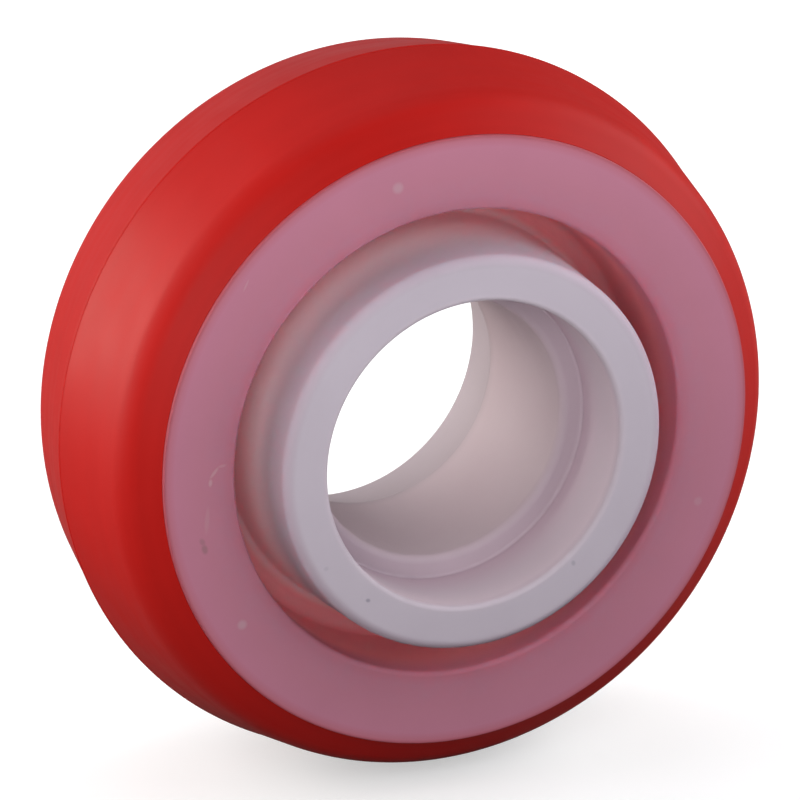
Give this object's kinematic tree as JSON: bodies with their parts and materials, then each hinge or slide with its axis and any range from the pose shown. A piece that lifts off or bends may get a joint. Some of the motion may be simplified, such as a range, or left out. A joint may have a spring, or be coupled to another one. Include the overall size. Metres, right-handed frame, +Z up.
{
  "type": "wheel",
  "caption": "Plain roller wheel: a red polyurethane tyre with a ridged tread, moulded onto a white plastic centre with a recessed web and an open stepped hub for ball bearings.",
  "frame": {"origin": "centre of the wheel, on its spin axis at its mid-plane", "axes": "+Y along the spin axis, the pictured face looking to -Y; +Z up with the wheel upright"},
  "size_m": [0.075, 0.036, 0.075],
  "materials": {
    "white_polyamide": "satin",
    "red_polyurethane": "satin"
  },
  "bodies": {
    "root": {"wheel_centre": "white_polyamide", "tyre": "red_polyurethane"}
  },
  "joints": []
}
